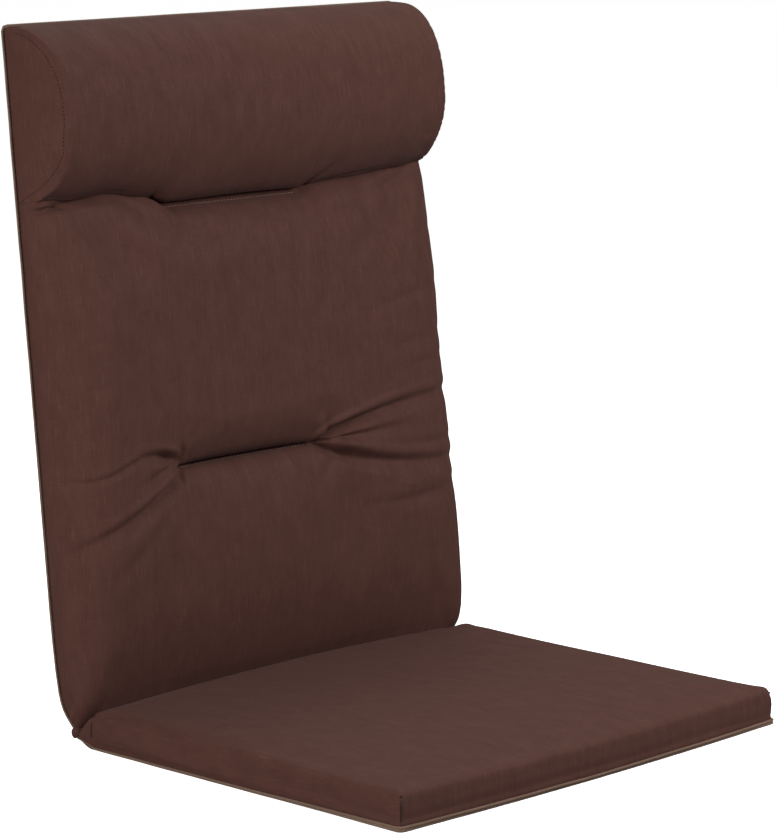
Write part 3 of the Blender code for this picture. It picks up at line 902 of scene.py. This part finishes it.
# Creases of the back's front, in millimetres of cloth across from the middle and up from the ground line.
# Past 222 across they lie on the rounded edge, and past 266 on the wall.
BACK_CREASES = (
    # start, first bend, second bend and end, each across and up; upper and lower bank; depth at start,
    # middle and end
    (-116, 232, -124, 242, -140, 249.5, -172, 248, 5, 10, 5, 10.5, 3),
    (-160, 248.5, -196, 247.5, -204, 224.5, -266, 238, 4, 7, 3, 2, 0.4),
    (-117, 230.5, -136, 219, -166, 196.5, -262, 169, 5.5, 17, 8, 6.5, 0.6),
    (-132, 237, -146, 233, -160, 228, -184, 220, 4.5, 6, 2.2, 1.6, 0),
    (-122, 230, -142, 223.5, -164, 208, -200, 195.5, 6, 5, -2.6, -1.6, 0),
    (-150, 184, -172, 165, -196, 148, -232, 132, 9, 15, 0.3, 1, 0.3),
    (-258, 46, -261, 34, -266, 24, -272, 15, 5, 4.5, -0.6, -2.4, -1.8),
    (152, 472, 172, 474.5, 194, 478, 222, 484, 3.5, 4.5, 1, 3.4, 1),
    (58, 235, 85, 250, 150, 261, 262, 265, 6, 15, 20, 8, 1),
    (60, 233.5, 88, 233.5, 120, 235.5, 168, 237.2, 7, 10, 14, 5, 0.5),
    (58, 231, 85, 220, 130, 195, 262, 196, 7.5, 16, 20, 9, 1),
    (148, 219, 175, 215.5, 205, 214.5, 262, 216.5, 6, 10, 0.4, 1.6, 0.4),
    (108, 166, 150, 164, 190, 160, 262, 180, 9, 14, 0.6, 2.6, 0.6),
    (148, 183, 160, 177, 176, 177, 190, 182, 6, 6, -0.4, -1.6, 0),
    (128, 350, 150, 357, 190, 361, 262, 372, 7, 12, 0.3, 1.4, 0.5),
    (146, 308, 165, 313, 190, 317, 262, 325, 7, 12, 0.3, 1.4, 0.5),
    (152, 410, 175, 415, 200, 418, 262, 424, 6, 10, 0.2, 1, 0.4),
    (162, 289, 180, 292, 205, 296, 262, 300, 6, 10, 0.2, 1.2, 0.5),
    (-258, 436, -252, 438, -244, 437, -234, 436, 3, 5, 0.2, 1.1, 0),
    (-228, 420, -220, 418, -212, 418, -202, 420, 3.5, 6, 0.2, 1, 0),
    (-230, 358, -222, 356, -212, 356, -198, 359, 3.5, 7, 0.2, 1.2, 0),
    (-228, 316, -220, 314, -210, 315, -196, 318, 3.5, 6, 0.2, 1, 0),
    (-276, 444, -266, 441, -256, 436, -246, 433, 3, 5, 0.3, 1.1, 0),
    (-288, 376, -272, 374, -258, 371, -244, 368, 3.5, 6, 0.3, 1, 0),
    (-262, 316, -254, 315, -246, 313, -238, 312, 3, 5, 0.2, 0.8, 0),
    (-262, 476, -250, 472, -238, 478, -200, 486, 3, 4.8, 2, 11, 7),
    (-236, 480, -215, 483, -180, 481.5, -150, 480, 6, 8, 5, 10, 0),
    (-250, 481, -244, 479.5, -236, 481.5, -226, 484, 2.8, 3.2, 0, 4.6, 2.2),
)

TUFT_ROWS = np.array([0.0012, 0.0035, 0.0065, 0.010, 0.014, 0.018, 0.022])
side_rim = rim_rows(BACK_RIM, 8)
inner = HALF - BACK_RIM
back_across = rows_from(
    side_rim - HALF,
    rows_between(-inner, -0.100, 0.0042),
    rows_between(-0.100, 0.046, 0.0076),
    rows_between(0.046, inner, 0.0046),
    HALF - side_rim,
    [0.0],
)
back_along = rows_from(
    rows_between(FOLD_END, 0.030, 0.0036),
    rows_between(0.030, 0.140, 0.0064),
    rows_between(0.140, 0.206, 0.0042),
    TUFT_AT - TUFT_ROWS,
    [TUFT_AT],
    TUFT_AT + TUFT_ROWS,
    rows_between(0.2585, 0.290, 0.0044),
    rows_between(0.290, HEAD_SEAM - 0.040, 0.0068),
    rows_between(HEAD_SEAM - 0.040, HEAD_SEAM - 0.010, 0.0040),
    HEAD_SEAM - np.array([0.0072, 0.0045, 0.0022, 0.0]),
)
back_levels = np.interp(np.linspace(0, 12, 13), [0, 2, 12], [0, 1, 2])
x, y, level = np.meshgrid(back_across, back_along, back_levels, indexing="ij")
back_points = back_shape(x, y, level)

on_line = (abs(y - TUFT_AT) < 0.002) & (along_line(x, TUFT_LINE, 0.004) > 0)
pinned = (level <= 1) | on_line | (HEAD_SEAM - y < 0.003) | (y < FOLD_END + 0.016)
back_points = filled_out(back_points, pinned, pressure=3.0, cap=0.0040)

off_middle = abs(back_across)
cloth_across = np.where(off_middle < inner, off_middle, round_rim(off_middle, BACK_RIM))
cloth_across = cloth_across * np.sign(back_across)
back_mesh, back_lay, on_surface = new_pad_mesh("back_cover", back_points, x, y, cloth_across, back_along)
valleys, ridges = crease_depths(back_lay, BACK_CREASES)
channel = tuft_depth(x, y)[on_surface]
folded = (valleys**3 + channel**3) ** (1 / 3) - channel - ridges
folded -= BACK_UNEVEN * slack(*back_lay.T, seed=11, size=0.050)
turned = np.clip((abs(x) - inner) / BACK_RIM, 0, 1)[on_surface]
outwards = np.stack([np.sign(x)[on_surface] * turned, np.zeros_like(turned), np.sqrt(1 - turned**2)], -1)
outwards = up_the_back(outwards) - up_the_back(np.zeros(3))
push_in(back_mesh, folded * smooth_step((level - 1) / 0.3)[on_surface], outwards)

back_mesh.materials.append(brown_cloth)
back_cover = new_object("back_cover", back_mesh)
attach(back_cover, "root")
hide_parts("back_pad")


# Head roll. A half-round bolster of fibre. One cloth goes over it from the seam under it to the top edge,
# and a flat D-shaped panel closes each end, set in with a topstitched seam.

ROLL_DEEP = 0.074
ROLL_MIDDLE = (HEAD_SEAM + TOP_END) / 2
ROLL_HALF = (TOP_END - HEAD_SEAM) / 2
ROLL_RIM = 0.004
ROLL_TOP_DEEP = 0.011
ROLL_CROWN = 0.002
ROLL_SQUARENESS = 2.15
ROLL_DRAWN_IN = 0.028
ROLL_FOOT_DRAWN_IN = 0.020
ROLL_OVERLAP = 0.0012
ROLL_TUCK = 0.0004
ROLL_UNEVEN = 0.0007


def roll_shape(x, y, level):
    turn = (y - ROLL_MIDDLE) / ROLL_HALF
    start = np.where(turn < 0, seam_deep(x), ROLL_TOP_DEEP)
    full = ROLL_DEEP + ROLL_CROWN * (1 - (x / HALF) ** 2)
    deep = start + (full - start) * np.sqrt(np.maximum(0, 1 - abs(turn) ** ROLL_SQUARENESS))
    side = arc_fall(HALF - abs(x), ROLL_RIM) * smooth_step((y - HEAD_SEAM) / 0.012)
    top = deep - side * np.minimum(1, deep / 0.030)
    rise, outward = wall_point(level, top)
    above_seam = y - HEAD_SEAM
    tucked = above_seam < 0.001
    place_y = y + seam_shift(x, rise) * near_seam(above_seam) - ROLL_OVERLAP * tucked
    place_x, place_y = outward_shift(x, place_y, -FAR, TOP_END, outward)
    place_x, place_y = round_corners(place_x, place_y, -FAR, TOP_END)
    foot = ROLL_FOOT_DRAWN_IN * smooth_step(1 - above_seam / 0.060) * rise / ROLL_DEEP
    place_x = place_x * (1 - ROLL_DRAWN_IN * (rise / ROLL_DEEP) ** 2 - foot)
    return up_the_back(np.stack([place_x, place_y, rise + ROLL_TUCK * tucked], -1))


def roll_creases():
    """Puckers that the sewn line and the end seams draw into the roll, across and up its cloth."""
    creases = [
        (-102, 488, -105, 500, -109, 512, -112, 528, 2.4, 3, -2, -1.2, 0),
        (-106, 486, -111, 498, -117, 508, -124, 520, 6, 6, 2.2, 1, 0),
        (72, 486, 82, 500, 92, 516, 108, 536, 8, 10, 4, 3, 0),
        (100, 492, 120, 500, 150, 503, 185, 500, 5, 7, 0.4, 1.2, 0),
    ]
    draws = np.random.default_rng(31)
    half = HALF / MM
    for side in (-1, 1):
        for up in np.arange(528, 665, 9.5):
            up = up + draws.uniform(-3, 3)
            reach, depth = draws.uniform(8, 18), draws.uniform(0.6, 1.3)
            edge, inner = (side * (half + 2), up), (side * (half - reach), up + draws.uniform(-3, 3))
            creases.append((*edge, *edge, *inner, *inner, 3.2, 3.2, depth, depth / 2, 0))
    return creases


roll_turns = np.cos(np.linspace(math.pi, 0, 47))
side_rim = rim_rows(ROLL_RIM, 2)
inner = HALF - ROLL_RIM
roll_across = rows_from(side_rim - HALF, rows_between(-inner, inner, 0.0075), HALF - side_rim)
roll_along = rows_from(ROLL_MIDDLE + ROLL_HALF * roll_turns)
roll_levels = np.interp(np.linspace(0, 20, 21), [0, 2, 20], [0, 1, 2])
x, y, level = np.meshgrid(roll_across, roll_along, roll_levels, indexing="ij")
roll_points = roll_shape(x, y, level)

pinned = (level <= 1) | (y < HEAD_SEAM + 0.002)
roll_points = filled_out(roll_points, pinned, pressure=2.5, cap=0.0030)

middle = len(roll_across) // 2
cloth_across = lengths_along(roll_points[:, len(roll_along) // 2, -1])
cloth_along = lengths_along(roll_points[middle, :, -1]) + HEAD_SEAM
up, out = off_the_back(roll_points)
d_panels = np.stack([np.sign(x) * (HALF + ROLL_DEEP - out), up], -1)
roll_mesh, roll_lay, on_surface = new_pad_mesh(
    "roll_cover", roll_points, x, y, cloth_across - cloth_across[middle], cloth_along, d_panels
)
loose = smooth_step((level - 1) / 0.3)[on_surface]
unevenness = -ROLL_UNEVEN * slack(*roll_lay.T, seed=23, size=0.045)
valleys, ridges = crease_depths(roll_lay, roll_creases())
push_in(roll_mesh, (unevenness + (valleys - ridges) * (y < TOP_END)[on_surface]) * loose)
roll_mesh.materials.append(brown_cloth)
roll_cover = new_object("roll_cover", roll_mesh)
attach(roll_cover, "root")
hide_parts("head_roll")


# Sewn lines. A line of small stitches in taupe thread runs along the floor of the channel through the back,
# and another along the foot of the head roll. Dark stitches hold the D-shaped panels, just inside their edge.

BACK_STITCHES = {"pitch": 0.0042, "gap": 0.25, "thick": 0.00042, "lift": 0.00035}
ROLL_STITCHES = {"pitch": 0.0042, "gap": 0.15, "thick": 0.00050, "lift": 0.00045}
D_STITCHES = {"pitch": 0.0034, "gap": 0.35, "thick": 0.00050, "lift": 0.00025}
out_way = up_the_back(np.array([0, 0, 1.0])) - up_the_back(np.zeros(3))
back_skin, roll_skin = skin_of(back_mesh), skin_of(roll_mesh)
taupe_thread = thread_material("taupe_thread", (0.150, 0.088, 0.062), rough=0.6)


def line_places(line, up, out):
    """Places along a short sewn line, seen from in front of the back."""
    middle, half = line
    across = np.linspace(middle - half, middle + half, 60)
    return up_the_back(np.stack([across, np.full(60, up), np.full(60, out)], -1))


line, outs = laid_on(back_skin, line_places(TUFT_LINE, TUFT_AT - 0.0012, 0.2), -out_way)
add_threads("back_line_stitches", stitch_rings(line, outs, **BACK_STITCHES), taupe_thread)

crease_up = HEAD_SEAM + seam_shift(0.0, SEAM_FULL_AT)
line, outs = laid_on(back_skin, line_places(ROLL_LINE, crease_up - 0.0020, 0.2), -out_way)
add_threads("roll_line_stitches", stitch_rings(line, outs, **ROLL_STITCHES), taupe_thread)

D_SEAM_IN = 0.0062
D_SEAM_FOOT = (
    # up, out of the under panel
    (0.4850, 0.0060),
    (0.4887, 0.0146),
    (0.4949, 0.0290),
    (0.5027, 0.0415),
    (0.5106, 0.0508),
    (0.5200, 0.0590),
    (0.5290, 0.0645),
)


def d_seam_places(side):
    """Places beside a D-shaped panel: up a slanting foot, then a little way in from the roll's outline."""
    up = ROLL_MIDDLE - ROLL_HALF * np.cos(np.linspace(0.14 * math.pi, 0.975 * math.pi, 160))
    turn = (up - ROLL_MIDDLE) / ROLL_HALF
    start = np.where(turn < 0, CREASE_DEEP, ROLL_TOP_DEEP)
    out = start + (ROLL_DEEP - start) * np.sqrt(1 - abs(turn) ** ROLL_SQUARENESS)
    along = np.stack([np.gradient(up), np.gradient(out)])
    along = along / np.linalg.norm(along, axis=0)
    up, out = up + D_SEAM_IN * along[1], out - D_SEAM_IN * along[0]
    foot_up, foot_out = columns(D_SEAM_FOOT)
    kept = (up > foot_up[-1] + 0.008) & (up < TOP_END - 0.005) & (out > 0.009)
    places = np.concatenate([np.stack([foot_up, foot_out]), np.stack([up[kept], out[kept]])], 1)
    up = np.concatenate([np.linspace(foot_up[0], foot_up[-1], 40)[:-1], places[0, len(foot_up) - 1 :]])
    out = smooth_between(up, places[0], places[1])
    return up_the_back(np.stack([np.full(len(up), side * 0.3), up, out], -1))


d_rings = []
for side in (-1, 1):
    line, outs = laid_on(roll_skin, d_seam_places(side), (-side, 0, 0))
    d_rings += stitch_rings(line, outs, **D_STITCHES)
add_threads("d_panel_stitches", d_rings, dark_thread_and_seam_shade)


# Fold. The cover is one cloth over the seat and the back. Where it bends between them it is sewn through
# and gathered into a narrow soft edge.

FOLD_EDGE = (0.2150, 0.0100)
FOLD_EDGE_ROUND = (0.0046, 0.0054)
fold_across = np.linspace(-HALF + 0.0025, HALF - 0.0025, 240)
fold_turns = np.linspace(0, 2 * math.pi, 25)[:-1]
x, turn = np.meshgrid(fold_across, fold_turns, indexing="ij")
gathers = 1 + 0.06 * slack(x, turn * 0.004, seed=41, size=0.012)
gathers -= 0.10 * smooth_step((abs(x) - HALF + 0.010) / 0.008)
fold_y = FOLD_EDGE[0] + FOLD_EDGE_ROUND[0] * gathers * np.sin(turn)
fold_z = FOLD_EDGE[1] + FOLD_EDGE_ROUND[1] * gathers * np.cos(turn)
rows, around = x.shape
faces = [
    (i * around + j, i * around + (j + 1) % around, (i + 1) * around + (j + 1) % around, (i + 1) * around + j)
    for i in range(rows - 1)
    for j in range(around)
]
faces.append(tuple(range(around - 1, -1, -1)))
faces.append(tuple(range((rows - 1) * around, rows * around)))
fold_mesh = bpy.data.meshes.new("fold_edge")
fold_mesh.from_pydata(np.stack([x, fold_y, fold_z], -1).reshape(-1, 3).tolist(), [], faces)
fold_map = fold_mesh.uv_layers.new(name="cloth")
for face in fold_mesh.polygons:
    for corner in face.loop_indices:
        i, j = divmod(fold_mesh.loops[corner].vertex_index, around)
        turned = j + around if j == 0 and face.index % around == around - 1 else j
        fold_map.data[corner].uv = (fold_across[i], turned * 0.0013)
fold_mesh.shade_smooth()
fold_edge = new_object("fold_edge", fold_mesh)
fold_mesh.materials.append(brown_cloth)
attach(fold_edge, "root")


# Binding. One taupe cotton tape, folded over the raw edge of the cover and the under panel and stitched
# through, all the way round the seat and the back.

TAPE_TALL = 0.0050
TAPE_THICK = 0.0024
TAPE_OUT = 0.0003
TAPE_LIFT = TAPE_TALL / 2 + 0.0003
TAPE_STEP = 0.004
TAPE_WANDER = 0.00022
BACK_TAPE_IN = 0.0004
BACK_TAPE_SUNK = 0.0006
BACK_TAPE_SIZE = 0.8
BACK_TAPE_ROLL = 72

# One cross-section of the folded tape: two soft lips with the line of stitches sunk between them.
TAPE_SECTION = (
    # out, tall, as shares of half its thickness and half its height
    (-1.00, -0.70), (-0.55, -1.00), (0.35, -1.00), (0.90, -0.72), (0.92, -0.42), (0.45, -0.12),
    (0.45, 0.04), (1.00, 0.34), (0.98, 0.72), (0.45, 1.00), (-0.55, 1.00), (-1.00, 0.70),
)

tape_out = HALF + TAPE_OUT
back_tape_out = tape_out - BACK_TAPE_IN
corner_round = PLAN_CORNER + TAPE_OUT
upright = (0, 0, 1)


def on_back(across, up, out):
    """A place of the tape's middle line on the back, this far off the plane of its under panel."""
    return up_the_back(np.array([across, up, out + TAPE_LIFT - BACK_TAPE_SUNK]))


# Half of the tape's run, from the middle of the seat's front to the middle of the back's top. Each place has
# the way in which the tape is tall there, its size, and how many degrees it rolls under the edge.
tape_run = []
for across in (0, 0.04, 0.08, 0.12, 0.16, 0.20, 0.23):
    bow = FRONT_BOW * (1 - (across / HALF) ** 2)
    tape_run.append(((across, -DART - TAPE_OUT - bow, TAPE_LIFT), upright, 1.0, 36 - 90 * across))
for turn in np.linspace(-math.pi / 2, 0, 6):
    across = HALF - PLAN_CORNER + corner_round * math.cos(turn)
    along = -DART + PLAN_CORNER + corner_round * math.sin(turn)
    tape_run.append(((across, along, TAPE_LIFT), upright, 1.0, 0))
SEAT_SIDE_RUN = (
    # along, size, roll
    (-0.10, 0.90, 30),
    (0.00, 0.70, 24),
    (DART - 0.030, 0.54, 16),
    (DART - 0.004, 0.48, 16),
)
for along, size, roll in SEAT_SIDE_RUN:
    tape_run.append(((tape_out, along, TAPE_LIFT * size), upright, size, roll))
fold_y, fold_z = FOLD_EDGE
tape_run.append(((tape_out - 0.0020, DART + 0.010, TAPE_LIFT + 0.0010), (0, -0.25, 1), 0.40, 50))
tape_run.append(((tape_out - 0.0045, fold_y + 0.001, fold_z - 0.0035), (0, -0.8, 1), 0.45, 30))
back_run = [(0.0120, 0.0146, 0.60, 30), (0.0200, 0.0098, 0.75, 50)]
back_run += [(up, outer, 0.75, BACK_TAPE_ROLL) for up, outer, _, _ in FOLD_ROWS[3:-2]]
for up, outer, size, roll in back_run:
    drawn = FOLD_DRAWN_IN * (1 - smooth_step((up - FOLD_END) / 0.030))
    tape_run.append((on_back(back_tape_out - drawn, up, outer), out_way, size, roll))
for turn in np.linspace(0, math.pi / 2, 6):
    across = HALF - PLAN_CORNER + (corner_round - BACK_TAPE_IN) * math.cos(turn)
    up = TOP_END - PLAN_CORNER + (corner_round - BACK_TAPE_IN) * math.sin(turn)
    tape_run.append((on_back(across, up, 0), out_way, BACK_TAPE_SIZE, BACK_TAPE_ROLL))
tape_run.append((on_back(0, TOP_END + TAPE_OUT - BACK_TAPE_IN, 0), out_way, BACK_TAPE_SIZE, BACK_TAPE_ROLL))


def resampled(run, step):
    """The tape's middle line, its tall direction, size and roll at even steps along it."""
    places, talls, sizes, rolls = columns(run)
    lengths = lengths_along(places)
    at = np.linspace(0, lengths[-1], round(lengths[-1] / step) + 1)
    values = [np.interp(at, lengths, column) for column in (*places.T, *talls.T, sizes, np.radians(rolls))]
    return np.stack(values[:3], -1), np.stack(values[3:6], -1), values[6], values[7]


places, talls, sizes, rolls = resampled(tape_run, TAPE_STEP)
mirror = np.array([-1, 1, 1])
places = np.concatenate([places, places[-2:0:-1] * mirror])
talls = np.concatenate([talls, talls[-2:0:-1] * mirror])
sizes = np.concatenate([sizes, sizes[-2:0:-1]])
rolls = np.concatenate([rolls, rolls[-2:0:-1]])[:, None]
along = unit(np.roll(places, -1, 0) - np.roll(places, 1, 0))
outward = unit(np.cross(along, talls))
upper = np.cross(outward, along)
tall = upper * np.cos(rolls) + outward * np.sin(rolls)
outward = outward * np.cos(rolls) - upper * np.sin(rolls)
rings = len(places)
wave = np.arange(rings) * 2 * math.pi / rings
wander = TAPE_WANDER * slack(np.cos(wave), np.sin(wave), seed=17, size=0.045)[:, None]
section = np.array(TAPE_SECTION)
tape_points = (
    (places + outward * wander)[:, None]
    + outward[:, None] * (section[:, 0, None] * TAPE_THICK / 2) * sizes[:, None, None]
    + tall[:, None] * (section[:, 1, None] * TAPE_TALL / 2) * sizes[:, None, None]
)
around = len(section)
tape_faces, tape_lay = [], []
section_run = lengths_along(section) * TAPE_TALL / 2
section_run = np.append(section_run, section_run[-1] + 0.003)
for i in range(rings):
    for j in range(around):
        k, after = (j + 1) % around, (i + 1) % rings
        tape_faces.append((i * around + j, after * around + j, after * around + k, i * around + k))
        near, far = i * TAPE_STEP, (i + 1) * TAPE_STEP
        low, high = section_run[j], section_run[j + 1]
        tape_lay += [(low, near), (low, far), (high, far), (high, near)]
tape_mesh = bpy.data.meshes.new("binding_tape")
tape_mesh.from_pydata(tape_points.reshape(-1, 3).tolist(), [], tape_faces)
tape_map = tape_mesh.uv_layers.new(name="cloth")
tape_map.uv.foreach_set("vector", np.array(tape_lay, np.float32).ravel())
tape_mesh.shade_smooth()
binding_tape = new_object("binding_tape", tape_mesh)
TAUPE_GROUND = (0.150, 0.092, 0.064)
TAUPE_SLUB = (0.212, 0.138, 0.098)
tape_cloth = cloth_material(
    "taupe_tape", TAUPE_GROUND, TAUPE_SLUB, thread_width=0.0005, slub_share=1.0, sheen=0.05, relief=0.00008
)
tape_mesh.materials.append(tape_cloth)
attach(binding_tape, "root")
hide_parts("edge_binding")
